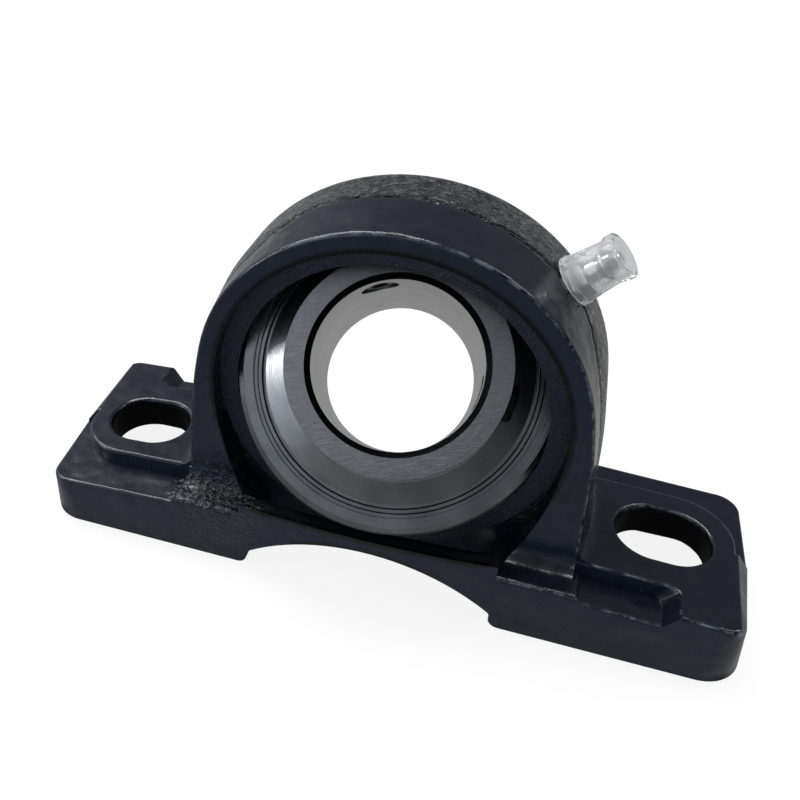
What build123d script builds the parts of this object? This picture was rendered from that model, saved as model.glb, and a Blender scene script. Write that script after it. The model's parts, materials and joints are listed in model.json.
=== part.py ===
"""Pillow block bearing for a 35 mm shaft: cast housing and self-aligning insert.

Millimetres. X runs along the base, -Y is the front, +Z is up. The origin is the middle of the
base's resting plane, straight below the centre of the spherical seat.
"""

import os
from math import cos, radians, sin, sqrt

from build123d import *

# Housing base and feet
SHAFT_HEIGHT = 47.6
BOLT_SPACING = 127.0
FOOT_END = 21.0  # from the middle of a bolt slot to the end of its foot, at the resting plane
BASE_WIDTH = 47.4  # at the resting plane
END_LEAN = 0.16  # each end leans in by this for every millimetre of height
FACE_LEAN = 0.045  # front and rear faces stand out by this for every millimetre of height
END_DRAFT = 1.2  # each end narrows by this from the parting plane to the front and rear faces
CORNER_R = 9.0
CORNER_SHRINK = 0.3  # of the corner radius, for every millimetre of height
PAD_TOP = 18.2  # level of the foot's top at the bolt slots
TOP_SLOPE = 0.05  # fall of the foot's top towards its end, per millimetre
PAD_FRONT = 14.5
PAD_END = 15.5  # from the middle of a bolt slot to the end of the raised pad's rounded part
PAD_ROUND = 12.5
BEVEL = 2.2  # of the pad's outer end, measured along the foot
BEVEL_FALL = 1.3  # of that bevel, per millimetre
PAD_EDGE_R = 0.8
LOW_TOP = 15.0  # level of the lower ledges where they meet the ring
LOW_EDGE_R = 0.8
NOTCH_DEPTH = 7.7
NOTCH_OUTER = 1.9  # from the middle of a bolt slot to the foot of the notch's outer wall
NOTCH_LEAN = 0.75  # of that wall, outwards for every millimetre of height
NOTCH_ROUND = 2.0
SLOT_WIDTH = 17.0
SLOT_LENGTH = 21.0
SLOT_EDGE_R = 0.9
# Ledges in front of and behind the ring, and the skirt between the feet
FLANK_HALF = 47.4
FLANK_RISE = 1.4  # above the lower ledges
FLANK_R = 4.0
FLANK_EDGE_R = 1.2
FOOT_INNER = 29.3  # half of the gap between the feet
GAP_SHIFT = 0.8  # of that gap, to the right
FOOT_TOE_R = 2.5
SKIRT = 3.0
SKIRT_SIDE = 0.7
SKIRT_TOP = 18.1
SKIRT_DEPTH = 4.0
ARCH_LOW = 4.1  # level where the arch under the skirt meets the feet
ARCH_CORNER_R = 1.5
ROOT_R = 3.0  # fillet between the ring's sides and the feet
# Hollow under each foot
FOOT_WALL = 4.0
FOOT_HOLLOW = 10.3
HOLLOW_INNER = 35.5
HOLLOW_ROUND = 10.0
HOLLOW_INNER_ROUND = 4.0
HOLLOW_TOP_R = 2.0
# Web under the ring
WEB_FRONT = -9.0
WEB_SKIN = 4.5  # between the seat flange's edge and the underside
# Ring of the housing
RIM_WALL = 5.6  # from the side of the recess to the outside, at the parting plane
RING_PARTING = -2.5
RING_FRONT = -16.3
FRONT_DRAFT = 1.3  # the ring narrows by this from the parting plane to its front face
RING_REAR = 12.2
REAR_DRAFT = 0.4
SIDE_START = 12.0  # angle above the shaft where the ring's round top runs into its sides
SIDE_R = 130.0
SIDE_LEAN = 3.5  # angle at which the sides run down to the base
RING_FOOT = 8.0  # level inside the base where the ring's sides end
FRONT_RIM_R = 1.0
REAR_RIM_R = 3.8
SEAT_LAND = 2.6  # from the seat to the side of the recess in front of it
RECESS_SIDE_R = 75.0
RECESS_LOW = 19.0
POCKET_KNEE = 12.0
POCKET_INSET = 1.8
POCKET_TAPER = 2.0
POCKET_DROP = 9.6  # from the shaft's level down to the top of the pocket under the seat flange
SEAT_FRONT = -12.2
SEAT_LIP = 1.8  # how far the seat's mouths close in from its largest radius
# Spherical seat and insert
SEAT_FIT = 0.03
RING_WIDTH = 17.0
LOADING_GAP = 0.4
TILT_UP = 39.6
TILT_SIDE = 7.5
BORE_R = 17.5
LONG_SIDE = 25.4
SHORT_SIDE = 17.5
BORE_CHAMFER = 1.2
FACE_CHAMFER_R = 1.7
FACE_CHAMFER_L = 1.0
OUTER_EDGE = 0.9
# Balls and raceways
BALL_COUNT = 9
BALL_R = 5.556
BALL_FIT = 0.02
RACE_WALL = 3.694  # of either ring, behind the middle of its raceway
GROOVE_RELIEF = 0.224  # by which a raceway's radius is larger than the ball's
INNER_SHOULDER = 3.7  # from the circle of ball centres to the inner ring's outside
OUTER_SHOULDER = 3.65  # and to the outer ring's inside
# Cage
CAGE_HALF = 2.15  # half of its width, either side of the ball centres
CAGE_PLATE = 0.6
POCKET_FIT = 0.1
RIVET_R = 0.8
RIVET_HEAD_R = 1.3
RIVET_HEAD = 0.5
# Seals
SEAL_STEP = 1.5  # of the seat, outwards from the outer ring's inside and in from its face
SEAL_FIT = 0.05
CORE_T = 0.7
CORE_GAP = 1.55  # between the core and the inner ring, filled by the lip
BEAD_INSET = 0.7  # the bead reaches in past the outer ring's inside
BEAD_GROOVE = 0.9  # between the bead and the seat
BEAD_H = 1.4
LIP_FIT = 0.05
LIP_BACK = 0.3
LIP_H = 1.0
LIP_GRIP = 1.4
# Flingers
FLINGER_FIT = 0.01
FLINGER_T = 0.9
FLINGER_LAND = 1.6  # between the flinger's edge and the outer ring's inside
FLINGER_GAP = 0.5  # between the outer ring's face and the flinger's edge
FLINGER_RISE = 2.6
HUB_H = 1.4
# Set screws
SCREW_R = 3.96
SCREW_FIT = 0.04
SCREW_OFFSET = 8.0
SCREW_ANGLES = (109.0, -11.0)
SCREW_BACK = 0.3  # from the bore to the tip of a screw
SCREW_LENGTH = 7.0
SCREW_CHAMFER = 0.5
SOCKET_AF = 4.0
SOCKET_DEPTH = 3.2
CUP_R = 2.2
CUP_TIP_R = 0.3
CUP_DEPTH = 1.0
# Grease groove in the outer ring
GREASE_POS = 5.2
GREASE_W = 1.6
GREASE_DEPTH = 0.8
GREASE_HOLE_R = 0.7
# Grease nipple and its cap
NIPPLE_ANGLE = 43.0
SPOT_R = 5.6
SPOT_DEPTH = 0.4  # below the ring's outside at the parting plane
THREAD_R = 3.0
THREAD_FIT = 0.03
THREAD_LENGTH = 5.5
THREAD_CHAMFER = 0.5
GREASE_DUCT_R = 1.5
HEX_AF = 7.0
HEX_H = 4.0
HEX_CHAMFER = 0.35
NECK_R = 2.2
NECK_TOP = 6.6
HEAD_R = 3.25
HEAD_TOP = 10.2
MOUTH_R = 1.0
CHAMBER_R = 1.55
CHAMBER_LOW = 2.0
CHECK_R = 1.3
CHECK_LEVEL = 8.0
CHECK_FIT = 0.03
SPRING_R = 1.15
SPRING_WIRE = 0.15
SPRING_TURNS = 4
SPRING_FIT = 0.02
CAP_FIT = 0.35
CAP_GRIP = 0.1
CAP_LOW = 0.6
CAP_BEAD = 0.9
CAP_SKIRT_R = 5.3
CAP_WAIST_R = 4.4
CAP_HEAD_R = 4.85
CAP_TOP = 11.4

PITCH_R = BORE_R + RACE_WALL + BALL_R
SPHERE_R = PITCH_R + BALL_R + RACE_WALL
GROOVE_R = BALL_R + GROOVE_RELIEF
INNER_R = PITCH_R - INNER_SHOULDER
SHOULDER_R = PITCH_R + OUTER_SHOULDER
CAGE_IN_R = PITCH_R - CAGE_HALF
CAGE_OUT_R = PITCH_R + CAGE_HALF
SEAL_SEAT_R = SHOULDER_R + SEAL_STEP
SEAL_SEAT = RING_WIDTH / 2 - SEAL_STEP
CORE_IN_R = INNER_R + CORE_GAP
BEAD_IN_R = SHOULDER_R - BEAD_INSET
BEAD_OUT_R = SEAL_SEAT_R - BEAD_GROOVE
BEAD_TOP = SEAL_SEAT + BEAD_H
LIP_OUT_R = CORE_IN_R + LIP_GRIP
LIP_TOP = SEAL_SEAT + LIP_H
FLINGER_R = SHOULDER_R - FLINGER_LAND
FLINGER_OUT = RING_WIDTH / 2 + FLINGER_GAP
FLINGER_IN = FLINGER_OUT + FLINGER_RISE
FLINGER_HUB = FLINGER_IN + HUB_H
SEAT_MOUTH_R = SPHERE_R - SEAT_LIP
RECESS_R = SPHERE_R + SEAT_LAND
RING_R = RECESS_R + RIM_WALL
RING_FRONT_R = RING_R - FRONT_DRAFT
RING_REAR_R = RING_R - REAR_DRAFT
SPOT_LEVEL = RING_R - SPOT_DEPTH
SCREW_START_R = BORE_R + SCREW_BACK
CENTRE = Vector(0, 0, SHAFT_HEIGHT)
BOLT_X = BOLT_SPACING / 2
HALF_L = BOLT_X + FOOT_END
HALF_W = BASE_WIDTH / 2
FOOT_TOP = PAD_TOP + TOP_SLOPE * BOLT_X
BEYOND_Y = HALF_W + FACE_LEAN * FOOT_TOP + 1
SKIRT_HALF = FOOT_INNER + SKIRT_SIDE
RIDGE_X = HALF_L - END_LEAN * PAD_TOP - BEVEL
NEAR = 0.01  # how close an edge or corner is to the place it is picked by


def block(x0, x1, y0, y1, z0, z1):
    size = Box(x1 - x0, y1 - y0, z1 - z0)
    return Pos((x0 + x1) / 2, (y0 + y1) / 2, (z0 + z1) / 2) * size


def upright(sketch, y0, y1):
    """Extrude a sketch drawn in X and Z from y0 to y1."""
    plane = Plane(origin=(0, y1, 0), x_dir=(1, 0, 0), z_dir=(0, -1, 0))
    return extrude(plane * sketch, y1 - y0)


def outline(*parts):
    return make_face(Wire(list(parts)))


def turned(points):
    """Solid of revolution about Z from a closed profile of (radius, height) points."""
    face = make_face(Polyline(*[(r, 0, h) for r, h in points], close=True))
    return revolve(face, Axis.Z)


def corner(plan, x, y):
    return plan.vertices().filter_by(lambda v: abs(v.X - x) < NEAR and abs(v.Y - y) < NEAR)


# --- Housing ---


def foot_plan(level):
    half_l = HALF_L - END_LEAN * level
    half_w = HALF_W + FACE_LEAN * level
    corner_x = half_l - END_DRAFT * half_w / HALF_W
    points = [(half_l, 0), (corner_x, half_w), (-corner_x, half_w)]
    points += [(-x, -y) for x, y in points]
    plan = make_face(Polyline(*points, close=True))
    corners = plan.vertices().filter_by(lambda v: abs(v.Y) > 1)
    return Pos(0, 0, level) * fillet(corners, CORNER_R - CORNER_SHRINK * level)


def pad_plan():
    """Raised part of the left foot; the right foot has the same turned by half a turn."""
    beyond_x = HALF_L + 2
    pad_end = BOLT_X + PAD_END
    points = [
        (0, -PAD_FRONT),
        (-pad_end, -PAD_FRONT),
        (-pad_end, 0),
        (-beyond_x, 0),
        (-beyond_x, BEYOND_Y),
        (0, BEYOND_Y),
    ]
    plan = make_face(Polyline(*points, close=True))
    return fillet(corner(plan, -pad_end, -PAD_FRONT), PAD_ROUND)


def make_notch():
    """Cutter for the recess beside the left foot's slot, at the rear."""
    foot = -BOLT_X - NOTCH_OUTER
    rise = FOOT_TOP + ROOT_R - LOW_TOP + 2
    sketch = outline(
        Line((0, LOW_TOP - 2), (foot + 2 * NOTCH_LEAN, LOW_TOP - 2)),
        Line((foot + 2 * NOTCH_LEAN, LOW_TOP - 2), (foot - NOTCH_LEAN * rise, LOW_TOP + rise)),
        Line((foot - NOTCH_LEAN * rise, LOW_TOP + rise), (0, LOW_TOP + rise)),
        Line((0, LOW_TOP + rise), (0, LOW_TOP - 2)),
    )
    notch = upright(sketch, HALF_W - NOTCH_DEPTH, BEYOND_Y)
    inner = notch.edges().filter_by(
        lambda e: abs(e.center().Y - HALF_W + NOTCH_DEPTH) < NEAR
        and e.center().X < foot + 2 * NOTCH_LEAN
        and abs((e @ 0).Z - (e @ 1).Z) > 1
    )
    return fillet(inner, NOTCH_ROUND)


def foot_level(x):
    """Level of the raised pad's top at this distance from the middle."""
    fall = max(0, x - RIDGE_X) * (BEVEL_FALL - TOP_SLOPE)
    return PAD_TOP + TOP_SLOPE * (BOLT_X - x) - fall


def low_outline():
    """Front outline of the lower ledges, falling towards the ends."""
    end = HALF_L + 1
    end_z = LOW_TOP - TOP_SLOPE * (end - FLANK_HALF)
    return outline(
        Line((-end, 0), (end, 0)),
        Line((end, 0), (end, end_z)),
        Line((end, end_z), (FLANK_HALF, LOW_TOP)),
        Line((FLANK_HALF, LOW_TOP), (-FLANK_HALF, LOW_TOP)),
        Line((-FLANK_HALF, LOW_TOP), (-end, end_z)),
        Line((-end, end_z), (-end, 0)),
    )


def top_outline():
    """Front outline of the raised pads and the skirt, dipping between the feet."""
    end = HALF_L + 1
    skirt_z = foot_level(SKIRT_HALF)
    ridge_z = foot_level(RIDGE_X)
    end_z = foot_level(end)
    return outline(
        Line((-end, 0), (end, 0)),
        Line((end, 0), (end, end_z)),
        Line((end, end_z), (RIDGE_X, ridge_z)),
        Line((RIDGE_X, ridge_z), (SKIRT_HALF, skirt_z)),
        ThreePointArc((SKIRT_HALF, skirt_z), (0, SKIRT_TOP), (-SKIRT_HALF, skirt_z)),
        Line((-SKIRT_HALF, skirt_z), (-RIDGE_X, ridge_z)),
        Line((-RIDGE_X, ridge_z), (-end, end_z)),
        Line((-end, end_z), (-end, 0)),
    )


def ring_side(radius, level):
    """Half width of the ring's straight side at a level, for a round top of this radius."""
    start = radians(SIDE_START)
    lean = radians(SIDE_LEAN)
    side_x = (radius - SIDE_R) * cos(start) + SIDE_R * cos(lean)
    side_z = SHAFT_HEIGHT + (radius - SIDE_R) * sin(start) + SIDE_R * sin(lean)
    return side_x + (side_z - level) * sin(lean) / cos(lean)


def ring_outline(radius):
    """Round top, sides of a larger radius and straight skirts down into the base."""
    start = radians(SIDE_START)
    lean = radians(SIDE_LEAN)
    middle = (start + lean) / 2
    centre_x = (radius - SIDE_R) * cos(start)
    centre_z = SHAFT_HEIGHT + (radius - SIDE_R) * sin(start)
    x0, z0 = radius * cos(start), SHAFT_HEIGHT + radius * sin(start)
    x1, z1 = centre_x + SIDE_R * cos(middle), centre_z + SIDE_R * sin(middle)
    x2, z2 = centre_x + SIDE_R * cos(lean), centre_z + SIDE_R * sin(lean)
    foot_x = ring_side(radius, RING_FOOT)
    return outline(
        ThreePointArc((x0, z0), (0, SHAFT_HEIGHT + radius), (-x0, z0)),
        ThreePointArc((-x0, z0), (-x1, z1), (-x2, z2)),
        Line((-x2, z2), (-foot_x, RING_FOOT)),
        Line((-foot_x, RING_FOOT), (foot_x, RING_FOOT)),
        Line((foot_x, RING_FOOT), (x2, z2)),
        ThreePointArc((x2, z2), (x1, z1), (x0, z0)),
    )


def make_ring_body():
    halves = []
    ends = ((RING_FRONT, RING_FRONT_R, FRONT_RIM_R), (RING_REAR, RING_REAR_R, REAR_RIM_R))
    for face_y, face_r, rim_r in ends:
        sections = []
        for y, radius in ((RING_PARTING, RING_R), (face_y, face_r)):
            plane = Plane(origin=(0, y, 0), x_dir=(1, 0, 0), z_dir=(0, -1, 0))
            sections.append(plane * ring_outline(radius))
        half = loft(sections, ruled=True)
        rim = half.edges().filter_by(
            lambda e: abs(e.center().Y - face_y) < NEAR and e.center().Z > RING_FOOT + 1
        )
        halves.append(fillet(rim, rim_r))
    return halves[0] + halves[1]


def make_root_fillets():
    """Fillets where the ring's leaning sides run into the feet."""
    lean = radians(SIDE_LEAN)
    middle = ROOT_R * (1 - sqrt(0.5))
    solids = []
    for side in (-1, 1):
        for face_y, face_r in ((RING_FRONT, RING_FRONT_R), (RING_REAR, RING_REAR_R)):
            sections = []
            for y, radius in ((RING_PARTING, RING_R), (face_y, face_r)):
                level = foot_level(RING_R)
                wall = ring_side(radius, level)
                tip = wall - ROOT_R * sin(lean)
                end = (wall + ROOT_R, level - TOP_SLOPE * ROOT_R)
                section = outline(
                    ThreePointArc((tip, level + ROOT_R), (wall + middle, level + middle), end),
                    Line(end, (wall + ROOT_R, level - 1)),
                    Line((wall + ROOT_R, level - 1), (tip - 1, level - 1)),
                    Line((tip - 1, level - 1), (tip - 1, level + ROOT_R)),
                    Line((tip - 1, level + ROOT_R), (tip, level + ROOT_R)),
                )
                plane = Plane(origin=(0, y, 0), x_dir=(side, 0, 0), z_dir=(0, -side, 0))
                sections.append(plane * section)
            solids.append(loft(sections))
    return solids


def make_flanks(whole):
    """Ledges in front of and behind the ring, hollowed towards its faces."""
    ledge_top = LOW_TOP + FLANK_RISE
    ledge = whole & block(-FLANK_HALF, FLANK_HALF, -BEYOND_Y, BEYOND_Y, 0, ledge_top)
    flanks = fillet(ledge.edges().filter_by(lambda e: e.center().Z > LOW_TOP), FLANK_EDGE_R)
    top = ledge_top + FLANK_R
    for side, face_y, face_r in ((-1, RING_FRONT, RING_FRONT_R), (1, RING_REAR, RING_REAR_R)):
        half = ring_side(face_r, top)
        inner_y = face_y - side
        foot_y = face_y + side * FLANK_R
        ramp = block(-half, half, min(inner_y, foot_y), max(inner_y, foot_y), 0, top)
        hollow = Pos(0, foot_y, top) * Rot(0, 90, 0) * Cylinder(FLANK_R, 3 * FLANK_HALF)
        flanks += ramp - hollow
    return flanks


def make_slots():
    slot = Pos(0, 0, -1) * extrude(SlotOverall(SLOT_LENGTH, SLOT_WIDTH), FOOT_TOP + ROOT_R + 1)
    return Pos(-BOLT_X, 0, 0) * slot + Pos(BOLT_X, 0, 0) * slot


def on_top(edge):
    """Whether an edge runs along the top of a raised pad."""
    return all(abs((edge @ at).Z - foot_level(abs((edge @ at).X))) < NEAR for at in (0, 0.5, 1))


def make_base():
    whole = loft([foot_plan(0), foot_plan(FOOT_TOP)], ruled=True)
    base = whole & upright(low_outline(), -BEYOND_Y, BEYOND_Y)
    rim = base.edges().filter_by(lambda e: e.center().Z > LOW_TOP - 2.5)
    base = fillet(rim, LOW_EDGE_R)
    pad = extrude(pad_plan(), FOOT_TOP + ROOT_R) - make_notch()
    pads = pad + Rot(0, 0, 180) * pad
    skirted = pads + block(-SKIRT_HALF, SKIRT_HALF, -BEYOND_Y, 0, 0, FOOT_TOP)
    raised = whole & skirted & upright(top_outline(), -BEYOND_Y, BEYOND_Y)
    rim = raised.edges().filter_by(
        lambda e: on_top(e) and SKIRT_HALF + 1 < abs(e.center().X) < RIDGE_X + NEAR
    )
    raised = fillet(rim, PAD_EDGE_R) - make_slots()
    rim = raised.edges().filter_by(
        lambda e: on_top(e)
        and abs(abs(e.center().X) - BOLT_X) < SLOT_LENGTH / 2 + NEAR
        and abs(e.center().Y) < SLOT_WIDTH / 2 + NEAR
    )
    base += fillet(rim, SLOT_EDGE_R)
    rounded = block(
        -HALF_L, HALF_L, RING_FRONT + FRONT_RIM_R / 2, RING_REAR - REAR_RIM_R / 2, 0, 2 * FOOT_TOP
    )
    for root in make_root_fillets():
        base += root & pads & rounded
    return base + make_flanks(whole)


def recess_sketch():
    """Inside of the ring's rim, with its lower sides curving in towards the gap in the base."""
    knee_x = FOOT_INNER - POCKET_INSET
    floor_x = knee_x - POCKET_TAPER
    drop = SHAFT_HEIGHT - RECESS_LOW
    half_drop = drop / 2
    low_x = RECESS_R - RECESS_SIDE_R + sqrt(RECESS_SIDE_R**2 - drop**2)
    half_x = RECESS_R - RECESS_SIDE_R + sqrt(RECESS_SIDE_R**2 - half_drop**2)
    half_z = SHAFT_HEIGHT - half_drop
    right = (RECESS_R, SHAFT_HEIGHT)
    left = (-RECESS_R, SHAFT_HEIGHT)
    return outline(
        ThreePointArc(left, (0, SHAFT_HEIGHT + RECESS_R), right),
        ThreePointArc(right, (half_x, half_z), (low_x, RECESS_LOW)),
        Line((low_x, RECESS_LOW), (knee_x, POCKET_KNEE)),
        Line((knee_x, POCKET_KNEE), (floor_x, -1)),
        Line((floor_x, -1), (-floor_x, -1)),
        Line((-floor_x, -1), (-knee_x, POCKET_KNEE)),
        Line((-knee_x, POCKET_KNEE), (-low_x, RECESS_LOW)),
        ThreePointArc((-low_x, RECESS_LOW), (-half_x, half_z), left),
    )


def make_recess():
    """Recess behind the skirt with the pocket around and below the seat ring; the open rear."""
    shape = recess_sketch()
    top = SHAFT_HEIGHT - POCKET_DROP
    below = Pos(0, top / 2 - 1) * Rectangle(4 * RECESS_R, top)
    pocket = (shape & below) - Pos(0, SHAFT_HEIGHT) * Circle(RECESS_R)
    recess = upright(shape, SKIRT - HALF_W, SEAT_FRONT)
    recess += upright(pocket, SEAT_FRONT - 0.5, WEB_FRONT)
    left = GAP_SHIFT - FOOT_INNER
    return recess + block(left, left + 2 * FOOT_INNER, RING_REAR, BEYOND_Y, -1, SHAFT_HEIGHT)


def gap_sketch(top):
    """Gap between the feet up to a level, with its lower corners rounded over the toes."""
    toe = FOOT_INNER + FOOT_TOE_R
    middle = FOOT_TOE_R * (1 - sqrt(0.5))
    mid_x = FOOT_INNER + middle
    return outline(
        Line((-toe, -1), (toe, -1)),
        Line((toe, -1), (toe, 0)),
        ThreePointArc((toe, 0), (mid_x, middle), (FOOT_INNER, FOOT_TOE_R)),
        Line((FOOT_INNER, FOOT_TOE_R), (FOOT_INNER, top)),
        Line((FOOT_INNER, top), (-FOOT_INNER, top)),
        Line((-FOOT_INNER, top), (-FOOT_INNER, FOOT_TOE_R)),
        ThreePointArc((-FOOT_INNER, FOOT_TOE_R), (-mid_x, middle), (-toe, 0)),
        Line((-toe, 0), (-toe, -1)),
    )


def make_arch():
    """Gap through the base below the web, arched under the skirt."""
    left = (-FOOT_INNER, ARCH_LOW)
    right = (FOOT_INNER, ARCH_LOW)
    arched = gap_sketch(ARCH_LOW)
    arched += outline(ThreePointArc(left, (0, SKIRT_TOP - SKIRT_DEPTH), right), Line(right, left))
    arched = fillet(corner(arched, *left) + corner(arched, *right), ARCH_CORNER_R)
    low = gap_sketch(SHAFT_HEIGHT - RECESS_R - WEB_SKIN)
    cutter = upright(arched, -BEYOND_Y, SEAT_FRONT) + upright(low, SEAT_FRONT, BEYOND_Y)
    return Pos(GAP_SHIFT, 0, 0) * cutter


def make_foot_hollow():
    end = HALF_L - END_LEAN * FOOT_HOLLOW - FOOT_WALL
    side = HALF_W - FOOT_WALL
    plan = Pos((HOLLOW_INNER + end) / 2, 0) * Rectangle(end - HOLLOW_INNER, 2 * side)
    plan = fillet(corner(plan, end, side) + corner(plan, end, -side), HOLLOW_ROUND)
    inner = corner(plan, HOLLOW_INNER, side) + corner(plan, HOLLOW_INNER, -side)
    plan = fillet(inner, HOLLOW_INNER_ROUND)
    hollow = Pos(0, 0, -1) * extrude(plan, FOOT_HOLLOW + 1)
    roof = hollow.edges().filter_by(lambda e: e.center().Z > FOOT_HOLLOW - NEAR)
    return fillet(roof, HOLLOW_TOP_R)


def make_seat():
    """Spherical seat with its two round mouths, turned about the axis of the ring."""
    seat_r = SPHERE_R + SEAT_FIT
    mouth_y = sqrt(seat_r**2 - SEAT_MOUTH_R**2)
    front = SEAT_FRONT - 1
    rear = RING_REAR + 1
    profile = outline(
        Line((0, front), (SEAT_MOUTH_R, front)),
        Line((SEAT_MOUTH_R, front), (SEAT_MOUTH_R, -mouth_y)),
        ThreePointArc((SEAT_MOUTH_R, -mouth_y), (seat_r, 0), (SEAT_MOUTH_R, mouth_y)),
        Line((SEAT_MOUTH_R, mouth_y), (SEAT_MOUTH_R, rear)),
        Line((SEAT_MOUTH_R, rear), (0, rear)),
        Line((0, rear), (0, front)),
    )
    return Pos(*CENTRE) * revolve(profile, Axis.Y)


def nipple_place(level=0.0):
    """Frame at the grease nipple: Z points out of the housing, level counts from the spot face."""
    out = Vector(cos(radians(NIPPLE_ANGLE)), 0, sin(radians(NIPPLE_ANGLE)))
    return Location(Plane(CENTRE + out * (SPOT_LEVEL + level), x_dir=(0, 1, 0), z_dir=out))


def drum(radius, z0, z1):
    return Pos(0, 0, z0) * Cylinder(radius, z1 - z0, align=(Align.CENTER, Align.CENTER, Align.MIN))


def make_housing():
    body = make_base()
    body += make_ring_body()
    body -= make_recess()
    body -= make_arch()
    hollow = make_foot_hollow()
    body -= hollow
    body -= Rot(0, 0, 180) * hollow
    body -= make_slots()
    body -= make_seat()
    seat_r = SPHERE_R + SEAT_FIT
    loading = Pos(0, SHAFT_HEIGHT) * (
        Circle(seat_r) & Rectangle(3 * SPHERE_R, RING_WIDTH + 2 * LOADING_GAP)
    )
    body -= upright(loading, 0, RING_REAR + 1)
    place = nipple_place()
    body -= place * drum(SPOT_R, 0, 5)
    body -= place * drum(THREAD_R + THREAD_FIT, -THREAD_LENGTH - 0.5, 1)
    return body - place * drum(GREASE_DUCT_R, SPHERE_R - SPOT_LEVEL - 1, 0)


# --- Insert, drawn with the shaft axis along Z and the long side up ---


def insert_place():
    up = radians(TILT_UP)
    side = radians(TILT_SIDE)
    axis = Vector(cos(up) * sin(side), -cos(up) * cos(side), sin(up))
    return Location(Plane(CENTRE, x_dir=(cos(side), sin(side), 0), z_dir=axis))


def radial(angle, along):
    """Frame on the insert whose Z points outwards at this angle, at this height on the axis."""
    out = Vector(cos(radians(angle)), sin(radians(angle)), 0)
    return Location(Plane((0, 0, along), x_dir=(0, 0, 1), z_dir=out))


def make_outer_ring():
    half = RING_WIDTH / 2
    ring = Cylinder(SPHERE_R + 1, RING_WIDTH) & Sphere(SPHERE_R)
    rims = ring.edges().filter_by(lambda e: abs(abs(e.center().Z) - half) < NEAR)
    ring = chamfer(rims, OUTER_EDGE)
    ring -= Cylinder(SHOULDER_R, RING_WIDTH + 2)
    for z0, z1 in ((SEAL_SEAT, half + 1), (-half - 1, -SEAL_SEAT)):
        ring -= drum(SEAL_SEAT_R, z0, z1)
    ring -= Torus(PITCH_R + BALL_R + BALL_FIT - GROOVE_R, GROOVE_R)
    bottom_r = sqrt(SPHERE_R**2 - GREASE_POS**2) - GREASE_DEPTH
    groove = Cylinder(SPHERE_R + 1, GREASE_W) - Cylinder(bottom_r, GREASE_W)
    ring -= Pos(0, 0, GREASE_POS) * groove
    for angle in (0, 180):
        ring -= radial(angle, GREASE_POS) * drum(GREASE_HOLE_R, SHOULDER_R - 2, SPHERE_R)
    return ring


def make_inner_ring():
    profile = [
        (BORE_R, BORE_CHAMFER - SHORT_SIDE),
        (BORE_R + BORE_CHAMFER, -SHORT_SIDE),
        (INNER_R - FACE_CHAMFER_R, -SHORT_SIDE),
        (INNER_R, FACE_CHAMFER_L - SHORT_SIDE),
        (INNER_R, LONG_SIDE - FACE_CHAMFER_L),
        (INNER_R - FACE_CHAMFER_R, LONG_SIDE),
        (BORE_R + BORE_CHAMFER, LONG_SIDE),
        (BORE_R, LONG_SIDE - BORE_CHAMFER),
    ]
    ring = turned(profile)
    ring -= Torus(PITCH_R - BALL_R - BALL_FIT + GROOVE_R, GROOVE_R)
    for angle in SCREW_ANGLES:
        ring -= radial(angle, LONG_SIDE - SCREW_OFFSET) * drum(SCREW_R + SCREW_FIT, 0, INNER_R + 2)
    return ring


def make_balls():
    for i in range(BALL_COUNT):
        yield Rot(0, 0, i * 360 / BALL_COUNT) * Pos(PITCH_R, 0, 0) * Sphere(BALL_R)


def make_cage_half():
    pocket = BALL_R + POCKET_FIT
    half = drum(CAGE_OUT_R, 0, CAGE_PLATE)
    spots = [Rot(0, 0, i * 360 / BALL_COUNT) * Pos(PITCH_R, 0, 0) for i in range(BALL_COUNT)]
    for spot in spots:
        half += spot * Sphere(pocket + CAGE_PLATE)
    half &= drum(CAGE_OUT_R, 0, 2 * BALL_R)
    half -= drum(CAGE_IN_R, -1, 2 * BALL_R)
    for spot in spots:
        half -= spot * Sphere(pocket)
    for i in range(BALL_COUNT):
        spot = Rot(0, 0, (i + 0.5) * 360 / BALL_COUNT) * Pos(PITCH_R, 0, 0)
        half -= spot * drum(RIVET_R, -1, CAGE_PLATE + 1)
    return half


def make_rivets():
    rivets = []
    for i in range(BALL_COUNT):
        spot = Rot(0, 0, (i + 0.5) * 360 / BALL_COUNT) * Pos(PITCH_R, 0, 0)
        rivet = drum(RIVET_R, -CAGE_PLATE, CAGE_PLATE)
        rivet += drum(RIVET_HEAD_R, CAGE_PLATE, CAGE_PLATE + RIVET_HEAD)
        rivet += drum(RIVET_HEAD_R, -CAGE_PLATE - RIVET_HEAD, -CAGE_PLATE)
        rivets.append(spot * rivet)
    return Compound(rivets)


def make_seal_core():
    top = SEAL_SEAT + CORE_T
    rim = SEAL_SEAT_R - SEAL_FIT
    return turned(
        [
            (CORE_IN_R, SEAL_SEAT),
            (rim, SEAL_SEAT),
            (rim, top),
            (BEAD_OUT_R + 0.1, top),
            (BEAD_OUT_R, BEAD_TOP - 0.3),
            (BEAD_OUT_R - 0.3, BEAD_TOP),
            (BEAD_IN_R + 0.3, BEAD_TOP),
            (BEAD_IN_R, BEAD_TOP - 0.3),
            (BEAD_IN_R, top),
            (CORE_IN_R, top),
        ]
    )


def make_seal_lip():
    top = SEAL_SEAT + CORE_T
    inner = INNER_R + LIP_FIT
    return turned(
        [
            (inner, SEAL_SEAT - LIP_BACK),
            (LIP_OUT_R, SEAL_SEAT - LIP_BACK),
            (LIP_OUT_R, SEAL_SEAT),
            (CORE_IN_R, SEAL_SEAT),
            (CORE_IN_R, top),
            (LIP_OUT_R, top),
            (LIP_OUT_R - 0.5, LIP_TOP),
            (inner, LIP_TOP),
            (inner, LIP_TOP - 0.4),
            (inner + 0.6, LIP_TOP - 0.8),
            (inner + 0.6, SEAL_SEAT),
        ]
    )


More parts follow.
